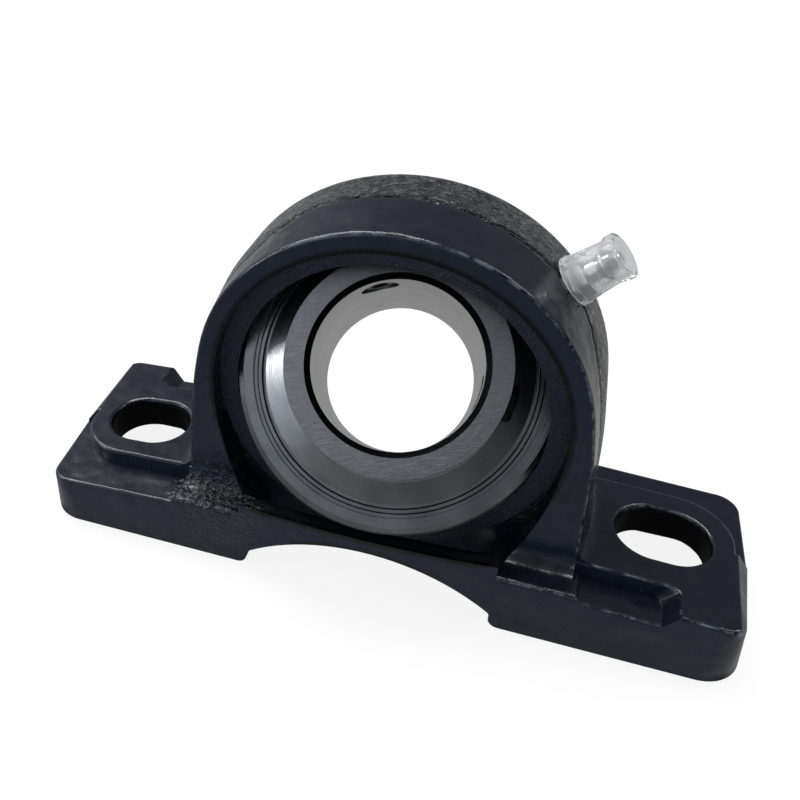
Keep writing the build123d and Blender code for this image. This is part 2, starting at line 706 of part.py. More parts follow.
def make_flinger():
    bore = INNER_R + FLINGER_FIT
    hub = bore + FLINGER_T
    return turned(
        [
            (bore, FLINGER_IN - FLINGER_T),
            (hub, FLINGER_IN - FLINGER_T),
            (FLINGER_R, FLINGER_OUT),
            (FLINGER_R, FLINGER_OUT + FLINGER_T),
            (hub, FLINGER_IN + 0.6),
            (hub, FLINGER_HUB - 0.3),
            (hub - 0.3, FLINGER_HUB),
            (bore, FLINGER_HUB),
        ]
    )


def make_set_screw():
    end = SCREW_START_R + SCREW_LENGTH
    screw = drum(SCREW_R, SCREW_START_R, end)
    screw = chamfer(screw.edges().filter_by(GeomType.CIRCLE), SCREW_CHAMFER)
    socket = extrude(RegularPolygon(SOCKET_AF / 2, 6, major_radius=False), SOCKET_DEPTH + 1)
    screw -= Pos(0, 0, end - SOCKET_DEPTH) * socket
    cup = Cone(CUP_R, CUP_TIP_R, CUP_DEPTH, align=(Align.CENTER, Align.CENTER, Align.MIN))
    return screw - Pos(0, 0, SCREW_START_R) * cup


# --- Grease nipple, drawn with its axis along Z from the spot face ---


def check_seat():
    """Conical seat above the chamber: levels where it meets the chamber and the mouth."""
    tip = CHECK_LEVEL + (CHECK_R + CHECK_FIT) * sqrt(2)
    return tip - CHAMBER_R, tip - MOUTH_R


def make_nipple():
    corner_r = HEX_AF / sqrt(3)
    face_r = corner_r - HEX_CHAMFER
    body = extrude(RegularPolygon(HEX_AF / 2, 6, major_radius=False), HEX_H)
    body &= turned(
        [
            (0, 0),
            (face_r, 0),
            (corner_r, HEX_CHAMFER),
            (corner_r, HEX_H - HEX_CHAMFER),
            (face_r, HEX_H),
            (0, HEX_H),
        ]
    )
    body += turned(
        [
            (0, -THREAD_LENGTH),
            (THREAD_R - THREAD_CHAMFER, -THREAD_LENGTH),
            (THREAD_R, THREAD_CHAMFER - THREAD_LENGTH),
            (THREAD_R, 0.1),
            (NECK_R + 0.5, 0.1),
            (NECK_R + 0.5, HEX_H),
            (NECK_R, HEX_H + 0.5),
            (NECK_R, NECK_TOP - 0.4),
            (HEAD_R - 0.3, NECK_TOP + 0.4),
            (HEAD_R, NECK_TOP + 0.9),
            (HEAD_R, NECK_TOP + 1.4),
            (MOUTH_R + 0.6, HEAD_TOP - 0.2),
            (MOUTH_R + 0.3, HEAD_TOP),
            (0, HEAD_TOP),
        ]
    )
    seat_low, seat_high = check_seat()
    body -= turned(
        [
            (0, CHAMBER_LOW),
            (CHAMBER_R, CHAMBER_LOW),
            (CHAMBER_R, seat_low),
            (MOUTH_R, seat_high),
            (MOUTH_R, HEAD_TOP + 1),
            (0, HEAD_TOP + 1),
        ]
    )
    return body - drum(MOUTH_R, -THREAD_LENGTH - 1, CHAMBER_LOW + 1)


def make_check_ball():
    return Pos(0, 0, CHECK_LEVEL) * Sphere(CHECK_R)


def make_spring():
    """Coil between the chamber's floor and the underside of the check ball."""
    bottom = CHAMBER_LOW + SPRING_WIRE + SPRING_FIT
    reach = CHECK_R + SPRING_WIRE + SPRING_FIT
    top = CHECK_LEVEL - sqrt(reach**2 - SPRING_R**2)
    path = Helix(pitch=(top - bottom) / SPRING_TURNS, height=top - bottom, radius=SPRING_R)
    start = Plane(origin=path @ 0, z_dir=path % 0)
    return Pos(0, 0, bottom) * sweep(start * Circle(SPRING_WIRE), path=path, is_frenet=True)


def make_cap():
    outside = [
        (0, CAP_LOW),
        (CAP_SKIRT_R, CAP_LOW),
        (CAP_SKIRT_R, CAP_LOW + CAP_BEAD),
        (CAP_SKIRT_R - 0.3, CAP_LOW + CAP_BEAD + 0.7),
        (CAP_WAIST_R + 0.25, HEX_H + 1.6),
        (CAP_WAIST_R, HEAD_TOP - 1.6),
        (CAP_HEAD_R, HEAD_TOP - 0.6),
        (CAP_HEAD_R, CAP_TOP - 0.3),
        (CAP_HEAD_R - 0.3, CAP_TOP),
        (0, CAP_TOP),
    ]
    hex_room = HEX_AF / sqrt(3) + CAP_FIT
    head_room = HEAD_R + CAP_GRIP
    inside = [
        (0, CAP_LOW - 1),
        (hex_room, CAP_LOW - 1),
        (hex_room, HEX_H + 0.2),
        (head_room, HEX_H + 1.4),
        (head_room, HEAD_TOP + CAP_FIT),
        (0, HEAD_TOP + CAP_FIT),
    ]
    return turned(outside) - turned(inside)


def main():
    nodes = {"housing": make_housing()}
    place = insert_place()
    nodes["outer_ring"] = place * make_outer_ring()
    nodes["inner_ring"] = place * make_inner_ring()
    for number, ball in enumerate(make_balls(), 1):
        nodes[f"ball_{number}"] = place * ball
    cage = make_cage_half()
    nodes["cage_rivets"] = place * make_rivets()
    core = make_seal_core()
    lip = make_seal_lip()
    flinger = make_flinger()
    for name, turn in (("front", Location()), ("rear", Rot(180, 0, 0))):
        nodes[f"cage_{name}"] = place * turn * cage
        nodes[f"seal_core_{name}"] = place * turn * core
        nodes[f"seal_lip_{name}"] = place * turn * lip
        nodes[f"flinger_{name}"] = place * turn * flinger
    screw = make_set_screw()
    for number, angle in enumerate(SCREW_ANGLES, 1):
        nodes[f"set_screw_{number}"] = place * radial(angle, LONG_SIDE - SCREW_OFFSET) * screw
    nipple = nipple_place()
    nodes["grease_nipple"] = nipple * make_nipple()
    nodes["nipple_check_ball"] = nipple * make_check_ball()
    nodes["nipple_spring"] = nipple * make_spring()
    nodes["nipple_cap"] = nipple * make_cap()
    os.makedirs("parts", exist_ok=True)
    for name, shape in nodes.items():
        export_step(shape, f"parts/{name}.step")


main()
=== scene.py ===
"""Looks of a pillow block bearing: painted casting, turned insert, seals, set screws and capped nipple."""

import json
from math import cos, radians, sin

import bpy
from mathutils import Matrix, Vector

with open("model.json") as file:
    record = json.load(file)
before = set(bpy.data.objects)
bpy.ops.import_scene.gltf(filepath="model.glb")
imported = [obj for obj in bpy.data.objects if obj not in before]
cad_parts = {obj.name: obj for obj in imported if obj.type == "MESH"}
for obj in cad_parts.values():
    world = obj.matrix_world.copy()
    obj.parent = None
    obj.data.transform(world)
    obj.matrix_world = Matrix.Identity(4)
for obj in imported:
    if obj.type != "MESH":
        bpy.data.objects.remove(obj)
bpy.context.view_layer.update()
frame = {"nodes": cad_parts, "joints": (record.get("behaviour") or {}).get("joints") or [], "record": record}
joints = {joint["name"]: joint for joint in frame["joints"]}
mounts = {mount["name"]: mount for mount in frame["record"]["mounts"]}
nodes = frame["nodes"]

# Camera, fitted to the photograph's view
IMAGE_SIZE = 800
FOCAL_PX = 968.08
PRINCIPAL_PX = (236.56, 416.73)
CAMERA_PLACE = Vector((0.029108, -0.179006, 0.175759))
CAMERA_AZIMUTH = radians(20.936)
CAMERA_ELEVATION = radians(38.115)
CAMERA_ROLL = radians(-1.069)
SENSOR_MM = 36.0
CLIP_START = 0.005

# Lengths are in metres and noise scales per metre. A zone is a pair: where it starts and where it is full.
MM = 0.001
BLACK = (0.001, 0.001, 0.001)
MIDDLE = (0.3, 0.7)  # the middle of a noise, stretched over the whole range of what it drives
NEAR_CORE = 0.4  # share of a spot's radius inside which it is full

# Insert: its axis and centre
INSERT_CENTRE = Vector(joints["shaft_spin"]["pos_m"])
INSERT_AXIS = Vector(joints["shaft_spin"]["axis"]).normalized()

# Places on the casting that its paint follows
RING_RADIUS = 0.044
RING_OUTSIDE = (0.0395, 0.0410)
RING_OVER_FEET = (0.020, 0.026)
PARTING_Y = -0.0025
PARTING_BLUR = (-0.0006, 0.0006)
PARTING_CRACK = (0.00110, 0.00030)
PARTING_LIP = (0.0022, 0.0010)
# At the ring's sides, past these angles from its top, the parting line runs further forward
PARTING_ASIDE = 0.0070
PARTING_RIGHT = (0.90, 1.25)
PARTING_LEFT = (-0.50, -0.85)
RECESS_RADIUS = (0.0392, 0.0385)
RECESS_Y = (-0.0158, -0.0148)
# Where the painted shade along the recess mouth's edge lies
MOUTH_SHADE_RADIUS = (0.0402, 0.0396)
MOUTH_SHADE_Y = (-0.012, -0.014)
FLANK_PLACE = (-0.036, -0.019, 0.017)
FLANK_REACH = 0.015
# Where the painted highlights along the rim and on the feet's edges lie
RIM_RADIUS = (0.0404, 0.0410)
RIM_LEFT_END = (-0.7, -0.4)
OFF_RING = (0.0440, 0.0450)
GLINT_HEIGHT_ZONE = (0.010, 0.016)

# Slots of the feet, as the mount of the base's bolts gives them
SLOTS = mounts["base_bolts"]["dims"]
SLOT_X = SLOTS["spacing_x_mm"] / 2 * MM
SLOT_RADIUS = SLOTS["hole_r_mm"] * MM
SLOT_STRAIGHT = SLOTS["slot_length_mm"] / 2 * MM - SLOT_RADIUS
SLOT_TOP = mounts["base_bolts"]["pos_m"][2]
# Where the painted shade on the slot walls starts and is full
SLOT_EDGE = (SLOT_RADIUS + 0.0006, SLOT_RADIUS + 0.0002)
SLOT_HEIGHT = (SLOT_TOP + 0.0003, SLOT_TOP - 0.0017)

# How far a face looks forward, from -1 to 1
FACES_FRONT = (0.80, 0.95)
RIM_FROM_TOP = (0.40, 0.60)
RIM_TO_FRONT = (0.95, 0.80)

# Noise in the paint: scale, detail, roughness and distortion, and the zones drawn from it
WAVER_NOISE = (110.0, 4.0, 0.6)
WAVER_SIZE = 0.0050
WRINKLE_NOISE = (600.0, 3.0, 0.58, 0.5)
WRINKLE_RIDGES = (0.38, 0.66)
WRINKLE_HIGHLIGHT_TIPS = (0.46, 0.70)
WRINKLE_ROLLED = (0.4, 0.6)
WRINKLE_SQUEEZE = 1.3  # the wrinkles run round the ring, so they are narrower along its axis
GRAIN_NOISE = (2300.0, 2.0, 0.6)
GRAIN_GLINT_RANGE = (0.52, 0.72)
SWELL_NOISE = (150.0, 1.0)
PATCH_NOISE = (160.0, 2.0)
PATCHES = (0.35, 0.60)
PATCH_LEAST = 0.35
GLINT_NOISE = (420.0, 4.0, 0.7)
RIM_GLINT_RANGE = (0.44, 0.60)
EDGE_GLINT_RANGE = (0.65, 0.74)
TONE_CLOUD = 70.0
GLOSS_CLOUD = 300.0

# Relief of the paint: how strong wrinkles and sand are outside their own zones, and how high each part is
PLAIN_WRINKLES = 0.01
FRONT_WRINKLES = 0.10
FLANK_WRINKLES = 0.24
PLAIN_SAND = 0.06
FLANK_SAND = 0.06
SWELL_HEIGHT = 0.0006
RIDGE_HEIGHT = 0.00180
GRAIN_HEIGHT = 0.00042
LIP_HEIGHT = 0.00080
CRACK_DEPTH = 0.00110

# Edges: how far their test reaches, and the open share at which an edge starts and is full
EDGE_REACH = 0.0016
EDGE_OPEN = (0.94, 0.78)
EDGE_SAMPLES = 8

# Paint: its colours, where a pair is the dark and the light end of a cloud, and its gloss. The front pair is
# a lit copy and the side pair a shaded copy of the one paint, as painted light and shade.
FRONT_LIT_PAINT = ((0.0054, 0.0092, 0.0192), (0.0080, 0.0120, 0.0230))
SIDE_SHADED_PAINT = ((0.0028, 0.0042, 0.0090), (0.0056, 0.0074, 0.0130))
# Painted highlight: light specks that stand for glints on the recess's sand grains
GRAIN_GLINT_PAINT = (0.030, 0.036, 0.052)
# Painted highlight on the tips of the ring's rear wrinkles
TIP_HIGHLIGHT_PAINT = (0.088, 0.090, 0.094)
# Painted highlight: the colour of the glints on the rim, edges and creases
EDGE_GLINT_PAINT = (0.14, 0.17, 0.20)
# Painted shade inside the feet's slots
SLOT_SHADE_PAINT = (0.0006, 0.0006, 0.0012)
PAINT_ROUGHNESS = (0.22, 0.34)
PAINT_SPECULAR = 0.20
COAT_WEIGHT = 0.42
COAT_ROUGHNESS = 0.08

# Turned steel: its streaks, and each steel's dark and light colour, least roughness and nodes
TURN_STREAK = 5000.0
TURN_NOISE = (1.0, 4.0, 0.6)
TURN_CLOUD = 120.0
TURN_HEIGHT = 0.00003
ROUGHNESS_SPREAD = 0.12
TURNED_STEELS = {
    "ring_steel": ((0.19, 0.20, 0.21), (0.29, 0.30, 0.31), 0.18, ("outer_ring",)),
    "flinger_steel": ((0.26, 0.27, 0.28), (0.36, 0.37, 0.38), 0.24, ("flinger_front", "flinger_rear")),
    "seal_steel": ((0.19, 0.20, 0.21), (0.29, 0.30, 0.31), 0.16, ("seal_core_front", "seal_core_rear")),
}

# Inner ring: places out from its axis and along it, each with a soft edge, and its finish
SOFT_EDGE = 0.0001
BORE_RADIUS = mounts["shaft_bore"]["dims"]["r_mm"] * MM
BORE_EDGE = (BORE_RADIUS + 0.0003, BORE_RADIUS + 0.0002)
CHAMFER_RADIUS = 0.01875
CHAMFER_INSIDE = (CHAMFER_RADIUS, CHAMFER_RADIUS - SOFT_EDGE)
CHAMFER_START = 0.02415
CHAMFER_ABOVE = (CHAMFER_START, CHAMFER_START + SOFT_EDGE)
FACE_RADIUS = 0.0212
FACE_OUTSIDE = (FACE_RADIUS, FACE_RADIUS + SOFT_EDGE)
FACE_HEIGHT = 0.0243
FACE_ABOVE = (FACE_HEIGHT, FACE_HEIGHT + SOFT_EDGE)
RING_CLOUD = 160.0
BORE_STEEL = ((0.46, 0.47, 0.46), (0.55, 0.56, 0.55))
FACE_STEEL = ((0.19, 0.19, 0.20), (0.38, 0.38, 0.40))
CHAMFER_BLACK = (0.006, 0.006, 0.007)
RING_ROUGHNESS = (0.28, 0.42)
RING_TURN_HEIGHT = 0.00002
SCRATCH_ANGLE = 25.0
CROSSING_ANGLE = 105.0
CROSSING_STRENGTH = 0.86
SCRATCH_ALONG = 260.0
SCRATCH_ACROSS = 6000.0
SCRATCH_NOISE = (1.0, 3.0, 0.6)
SCRATCH_RANGE = (0.38, 0.74)
SCRATCH_HEIGHT = 0.00006

# Plain metals: their grain, and each metal's dark and light colour, least roughness and nodes
BALLS = tuple(name for name in nodes if name.startswith("ball_"))
METAL_CLOUD = 400.0
METAL_SMEAR = 900.0
METAL_GRAIN = 2500.0
METAL_HEIGHT = 0.000005
PLAIN_METALS = {
    "cage_steel": ((0.4, 0.39, 0.37), (0.5, 0.49, 0.46), 0.35, ("cage_front", "cage_rear", "cage_rivets")),
    "hardened_steel": ((0.6, 0.6, 0.61), (0.65, 0.65, 0.66), 0.06, ("nipple_check_ball", *BALLS)),
    "black_oxide_steel": ((0.010, 0.010, 0.011), (0.020, 0.020, 0.021), 0.3, ("set_screw_1", "set_screw_2")),
    "zinc_plated_steel": ((0.62, 0.62, 0.60), (0.74, 0.74, 0.72), 0.06, ("grease_nipple",)),
    "spring_steel": ((0.45, 0.45, 0.45), (0.55, 0.55, 0.55), 0.25, ("nipple_spring",)),
}

# Seal lips
RUBBER_CLOUD = 300.0
RUBBER_GRAIN = 4000.0
RUBBER = ((0.008, 0.008, 0.008), (0.016, 0.016, 0.016))
RUBBER_ROUGHNESS = 0.6
RUBBER_HEIGHT = 0.00001

# Cap of the nipple
CAP_CLOUD = 200.0
CAP_SMEAR = 700.0
CAP_GRAIN = 500.0
CAP_PLASTIC = ((0.93, 0.95, 0.95), (0.97, 0.98, 0.98))
CAP_ROUGHNESS = (0.01, 0.04)
CAP_HEIGHT = 0.00001
CAP_IOR = 1.18
CAP_CLEARNESS = 0.86

# Floor: it shows white by itself, apart from a share that takes the shadow, and is darker in gloss, with a
# painted shadow under the object in what gloss sees
FLOOR_SIZE = 40.0
FLOOR_CLOUD = 3.0
FLOOR_PALE = ((0.90, 0.90, 0.90), (0.93, 0.93, 0.93))
FLOOR_WHITE_SHARE = 0.88
FLOOR_LOSS_Y = (-0.12, 0.05)
FLOOR_LOSS = (0.85, 0.55)
UNDER_X = (0.090, 0.080)
UNDER_Y = (0.030, 0.022)
UNDER_SHADOW = 0.96

# World: soft light, and a white that gloss sees darker to the front right and away from the front left
SOFT_COLOUR = (0.95, 0.97, 1.0, 1.0)
SOFT_STRENGTH = 0.6
DARK_SIDE = Vector((0.65, -0.60, 0.47)).normalized()
DARK_SPREAD = (0.50, 0.88)
DARK_LEVEL = 0.35
BRIGHT_SIDE = Vector((-0.80, -0.45, 0.40)).normalized()
DIM_SPREAD = (0.8, 0.1)
DIM_LOSS = 0.78
WHITE = (1.0, 1.0, 1.0)
GLOSS_TINT = (0.86, 0.92, 1.0)

# Softboxes: place, aim, width, height and power
SOFTBOXES = {
    "key": ((-0.45, 0.15, 0.55), (0, 0, 0.04), 0.34, 0.34, 2.4),
    "side": ((-0.55, -0.25, 0.25), (0, 0, 0.04), 0.14, 0.14, 0.7),
    "overhead": ((-0.15, 0.12, 0.68), (0, 0, 0.05), 0.16, 0.50, 3.2),
    "rim": ((0.46, 0.22, 0.59), (0, 0, 0.05), 0.12, 0.40, 1.3),
}

# Sockets of a Mix node between two vectors
VECTOR_A, VECTOR_B, VECTOR_RESULT = 4, 5, 1


def add_camera():
    data = bpy.data.cameras.new("camera")
    camera = bpy.data.objects.new("camera", data)
    bpy.context.scene.collection.objects.link(camera)
    forward = Vector(
        (
            -sin(CAMERA_AZIMUTH) * cos(CAMERA_ELEVATION),
            cos(CAMERA_AZIMUTH) * cos(CAMERA_ELEVATION),
            -sin(CAMERA_ELEVATION),
        )
    )
    level = forward.cross(Vector((0, 0, 1))).normalized()
    upright = level.cross(forward)
    right = level * cos(CAMERA_ROLL) + upright * sin(CAMERA_ROLL)
    up = right.cross(forward)
    turn = Matrix((right, up, -forward)).transposed()
    camera.matrix_world = Matrix.Translation(CAMERA_PLACE) @ turn.to_4x4()
    data.sensor_width = SENSOR_MM
    data.lens = FOCAL_PX / IMAGE_SIZE * SENSOR_MM
    data.shift_x = 0.5 - PRINCIPAL_PX[0] / IMAGE_SIZE
    data.shift_y = PRINCIPAL_PX[1] / IMAGE_SIZE - 0.5
    data.clip_start = CLIP_START
    bpy.context.scene.camera = camera


class Shader:
    """One material's or world's node tree, with a short call for each node that it is built from."""

    def __init__(self, name, owner=None):
        self.owner = owner or bpy.data.materials.new(name)
        self.owner.use_nodes = True
        self.tree = self.owner.node_tree
        self.tree.nodes.clear()
        kind = "World" if owner else "Material"
        self.output = self.tree.nodes.new("ShaderNodeOutput" + kind)

    def add(self, kind, settings=None, **inputs):
        node = self.tree.nodes.new("ShaderNode" + kind)
        for key, value in (settings or {}).items():
            setattr(node, key, value)
        for key, value in inputs.items():
            self.put(node.inputs[key.replace("_", " ")], value)
        return node

    def put(self, socket, value):
        if isinstance(value, bpy.types.NodeSocket):
            self.tree.links.new(value, socket)
        else:
            socket.default_value = value

    def place(self):
        return self.add("TexCoord").outputs["Object"]

    def forward(self):
        """How much the surface looks to the front: 1 straight ahead, -1 to the rear."""
        normal = self.add("TexCoord").outputs["Normal"]
        return self.math("MULTIPLY", self.split(normal)[1], -1.0)

    def split(self, vector):
        return self.add("SeparateXYZ", Vector=vector).outputs

    def join(self, *parts):
        node = self.add("CombineXYZ")
        for socket, part in zip(node.inputs, parts):
            self.put(socket, part)
        return node.outputs[0]

    def noise(self, vector, scale, detail=3.0, roughness=0.5, distortion=0.0):
        node = self.add("TexNoise", Vector=vector, Scale=scale, Detail=detail, Roughness=roughness)
        self.put(node.inputs["Distortion"], distortion)
        return node.outputs["Fac"]

    def math(self, operation, first, second=0.0, third=0.0):
        node = self.add("Math", {"operation": operation})
        for socket, value in zip(node.inputs, (first, second, third)):
            self.put(socket, value)
        return node.outputs[0]

    def times(self, first, *others):
        for other in others:
            first = self.math("MULTIPLY", first, other)
        return first

    def greatest(self, first, *others):
        for other in others:
            first = self.math("MAXIMUM", first, other)
        return first

    def length(self, *parts):
        """Length of the vector with these parts."""
        squares = [self.math("MULTIPLY", part, part) for part in parts]
        total = squares[0]
        for square in squares[1:]:
            total = self.math("ADD", total, square)
        return self.math("SQRT", total)

    def span(self, value, low, high, out_low=0.0, out_high=1.0):
        """Map value from low..high to out_low..out_high, held at both ends."""
        node = self.add("MapRange", {"clamp": True}, Value=value)
        self.put(node.inputs["From Min"], low)
        self.put(node.inputs["From Max"], high)
        self.put(node.inputs["To Min"], out_low)
        self.put(node.inputs["To Max"], out_high)
        return node.outputs["Result"]

    def near(self, place, centre, radius):
        """1 at a place on the object, falling to 0 at this distance from it."""
        away = self.add("VectorMath", {"operation": "DISTANCE"})
        self.put(away.inputs[0], place)
        self.put(away.inputs[1], centre)
        return self.span(away.outputs["Value"], radius, radius * NEAR_CORE)

    def dot(self, vector, direction):
        node = self.add("VectorMath", {"operation": "DOT_PRODUCT"})
        self.put(node.inputs[0], vector)
        self.put(node.inputs[1], direction)
        return node.outputs["Value"]

    def mix_vectors(self, factor, first, second):
        node = self.add("Mix", {"data_type": "VECTOR"})
        self.put(node.inputs["Factor"], factor)
        self.put(node.inputs[VECTOR_A], first)
        self.put(node.inputs[VECTOR_B], second)
        return node.outputs[VECTOR_RESULT]

    def edges(self, inside):
        """1 along the object's own edges, convex where inside is set and concave where it isn't."""
        settings = {"inside": inside, "samples": EDGE_SAMPLES, "only_local": True}
        open_share = self.add("AmbientOcclusion", settings, Distance=EDGE_REACH).outputs["AO"]
        return self.span(open_share, *EDGE_OPEN)

    def colours(self, factor, dark, light):
        node = self.add("Mix", {"data_type": "RGBA"})
        self.put(node.inputs["Factor"], factor)
        for socket, colour in (("A", dark), ("B", light)):
            self.put(node.inputs[socket], (*colour, 1.0) if isinstance(colour, tuple) else colour)
        return node.outputs["Result"]

    def bump(self, height, distance, normal=None):
        node = self.add("Bump", Height=height, Strength=1.0, Distance=distance)
        if normal is not None:
            self.put(node.inputs["Normal"], normal)
        return node.outputs["Normal"]

    def surface(self, **inputs):
        bsdf = self.add("BsdfPrincipled")
        for key, value in inputs.items():
            self.put(bsdf.inputs[key.replace("_", " ")], value)
        self.tree.links.new(bsdf.outputs["BSDF"], self.output.inputs["Surface"])
        return self.owner

    def show_either(self, share, first, second):
        """Show the second shader for this share and the first for the rest."""
        mix = self.add("MixShader", Fac=share)
        self.put(mix.inputs[1], first.outputs[0])
        self.put(mix.inputs[2], second.outputs[0])
        self.put(self.output.inputs["Surface"], mix.outputs[0])


class CastingPaint(Shader):
    """Gloss black paint over a sand casting: wrinkled behind the parting line, grainy in the recess, with
    painted light and shade in its colour.
    """

    def __init__(self):
        super().__init__("housing_paint")
        self.at = self.place()
        self.x, self.y, self.z = self.split(self.at)
        above = self.math("SUBTRACT", self.z, INSERT_CENTRE.z)
        self.radius = self.length(self.x, above)
        self.angle = self.math("ARCTAN2", self.x, above)
        self.looks_forward = self.forward()
        self.set_zones()
        self.set_patterns()

    def set_zones(self):
        waver = self.noise(self.at, *WAVER_NOISE)
        waver = self.math("MULTIPLY_ADD", waver, WAVER_SIZE, -WAVER_SIZE / 2)
        aside = self.greatest(self.span(self.angle, *PARTING_RIGHT), self.span(self.angle, *PARTING_LEFT))
        waver = self.math("MULTIPLY_ADD", aside, PARTING_ASIDE, waver)
        self.behind = self.math("ADD", self.math("SUBTRACT", self.y, PARTING_Y), waver)
        on_outside = self.span(self.radius, *RING_OUTSIDE)
        self.on_ring = self.times(on_outside, self.span(self.z, *RING_OVER_FEET))
        self.rear = self.times(self.span(self.behind, *PARTING_BLUR), self.on_ring)
        self.recess = self.times(self.span(self.radius, *RECESS_RADIUS), self.span(self.y, *RECESS_Y))
        self.flank = self.near(self.at, FLANK_PLACE, FLANK_REACH)
        front = self.span(self.looks_forward, *FACES_FRONT)
        self.front = self.times(front, self.span(self.recess, 1.0, 0.0))

    def set_patterns(self):
        along = self.times(self.angle, RING_RADIUS)
        rolled = self.join(along, self.times(self.y, WRINKLE_SQUEEZE), self.radius)
        route = self.mix_vectors(self.span(self.on_ring, *WRINKLE_ROLLED), self.at, rolled)
        self.wrinkle = self.noise(route, *WRINKLE_NOISE)
        self.grain = self.noise(self.at, *GRAIN_NOISE)
        patchy = self.span(self.noise(self.at, *PATCH_NOISE), *PATCHES, PATCH_LEAST, 1.0)
        line = self.math("ABSOLUTE", self.behind)
        self.crack_and_shade = self.times(self.span(line, *PARTING_CRACK), self.on_ring, patchy)
        self.lip = self.times(self.span(self.behind, *PARTING_LIP), self.rear, patchy)

    def make_relief(self):
        """The casting's swell, wrinkles, sand and parting line, as a normal."""
        wrinkled = self.math("MULTIPLY_ADD", self.rear, 1.0 - PLAIN_WRINKLES, PLAIN_WRINKLES)
        wrinkled = self.times(wrinkled, self.span(self.front, 1.0, 0.0, FRONT_WRINKLES, 1.0))
        wrinkled = self.greatest(wrinkled, self.times(self.flank, FLANK_WRINKLES))
        sandy = self.greatest(self.recess, self.times(self.flank, FLANK_SAND))
        sandy = self.math("MULTIPLY_ADD", sandy, 1.0 - PLAIN_SAND, PLAIN_SAND)
        ridges = self.span(self.wrinkle, *WRINKLE_RIDGES)
        normal = self.bump(self.noise(self.at, *SWELL_NOISE), SWELL_HEIGHT)
        normal = self.bump(self.times(ridges, wrinkled), RIDGE_HEIGHT, normal)
        normal = self.bump(self.times(self.grain, sandy), GRAIN_HEIGHT, normal)
        normal = self.bump(self.lip, LIP_HEIGHT, normal)
        return self.bump(self.times(self.crack_and_shade, -1.0), CRACK_DEPTH, normal)

    def edge_glints(self, convex):
        """Painted highlights: broken glints along the rim's edge, and spots of glint on the feet's edges and
        creases.
        """
        broken = self.noise(self.at, *GLINT_NOISE)
        on_rim = self.times(self.span(self.radius, *RIM_RADIUS), self.span(self.angle, *RIM_LEFT_END))
        turns = (self.span(self.looks_forward, *RIM_FROM_TOP), self.span(self.looks_forward, *RIM_TO_FRONT))
        rim_glint = self.times(self.span(broken, *RIM_GLINT_RANGE), on_rim, *turns)
        edge_glint_spots = self.times(self.span(broken, *EDGE_GLINT_RANGE), self.span(self.radius, *OFF_RING))
        convex_glint = self.times(convex, self.greatest(rim_glint, edge_glint_spots))
        crease_glint = self.times(self.edges(inside=False), edge_glint_spots)
        return self.times(self.greatest(convex_glint, crease_glint), self.span(self.z, *GLINT_HEIGHT_ZONE))

    def slot_wall_shade(self):
        # Painted shade: the walls of the feet's slots are painted near black
        from_slot = self.math("SUBTRACT", self.math("ABSOLUTE", self.x), SLOT_X)
        past_straight = self.math("SUBTRACT", self.math("ABSOLUTE", from_slot), SLOT_STRAIGHT)
        from_line = self.length(self.greatest(past_straight, 0.0), self.y)
        return self.times(self.span(from_line, *SLOT_EDGE), self.span(self.z, *SLOT_HEIGHT))

    def make_colour(self):
        tone = self.noise(self.at, TONE_CLOUD)
        # Painted light and shade: faces that look forward, and the recess, get a lighter copy of the paint;
        # the other faces get a darker copy.
        front = self.colours(tone, *FRONT_LIT_PAINT)
        shaded_sides = self.colours(tone, *SIDE_SHADED_PAINT)
        colour = self.colours(self.greatest(self.front, self.recess), shaded_sides, front)
        # Painted highlights: light specks on the sand grains in the recess, standing for glints
        grain_glints = self.times(self.span(self.grain, *GRAIN_GLINT_RANGE), self.recess)
        colour = self.colours(grain_glints, colour, GRAIN_GLINT_PAINT)
        # Painted highlight: the tips of the wrinkles behind the parting line are made lighter
        tip_highlights = self.times(self.span(self.wrinkle, *WRINKLE_HIGHLIGHT_TIPS), self.rear)
        colour = self.colours(tip_highlights, colour, TIP_HIGHLIGHT_PAINT)
        # Painted shade: the crack along the parting line is painted black
        colour = self.colours(self.crack_and_shade, colour, BLACK)
        convex = self.edges(inside=True)
        # Painted shade: a black line along the edge of the recess mouth
        mouth_shade = self.times(self.span(self.radius, *MOUTH_SHADE_RADIUS), self.span(self.y, *MOUTH_SHADE_Y))
        colour = self.colours(self.times(convex, mouth_shade), colour, BLACK)
        # Painted highlights: light glints along the rim, the feet's edges and creases
        colour = self.colours(self.edge_glints(convex), colour, EDGE_GLINT_PAINT)
        return self.colours(self.slot_wall_shade(), colour, SLOT_SHADE_PAINT)

    def finish(self):
        normal = self.make_relief()
        return self.surface(
            Base_Color=self.make_colour(),
            Roughness=self.span(self.noise(self.at, GLOSS_CLOUD), *MIDDLE, *PAINT_ROUGHNESS),
            Normal=normal,
            Specular_IOR_Level=PAINT_SPECULAR,
            Coat_Weight=COAT_WEIGHT,
            Coat_Roughness=COAT_ROUGHNESS,
            Coat_Normal=normal,
        )


def insert_place(shader):
    """Object coordinates with the insert's axis as Z and its centre as the origin."""
    shifted = shader.add("VectorMath", {"operation": "SUBTRACT"})
    shader.put(shifted.inputs[0], shader.place())
    shader.put(shifted.inputs[1], INSERT_CENTRE)
    rotated = shader.add("VectorRotate", {"rotation_type": "EULER_XYZ"})
    shader.put(rotated.inputs["Vector"], shifted.outputs[0])
    turn = INSERT_AXIS.rotation_difference(Vector((0, 0, 1)))
    rotated.inputs["Rotation"].default_value = turn.to_euler("XYZ")
    return rotated.outputs["Vector"]


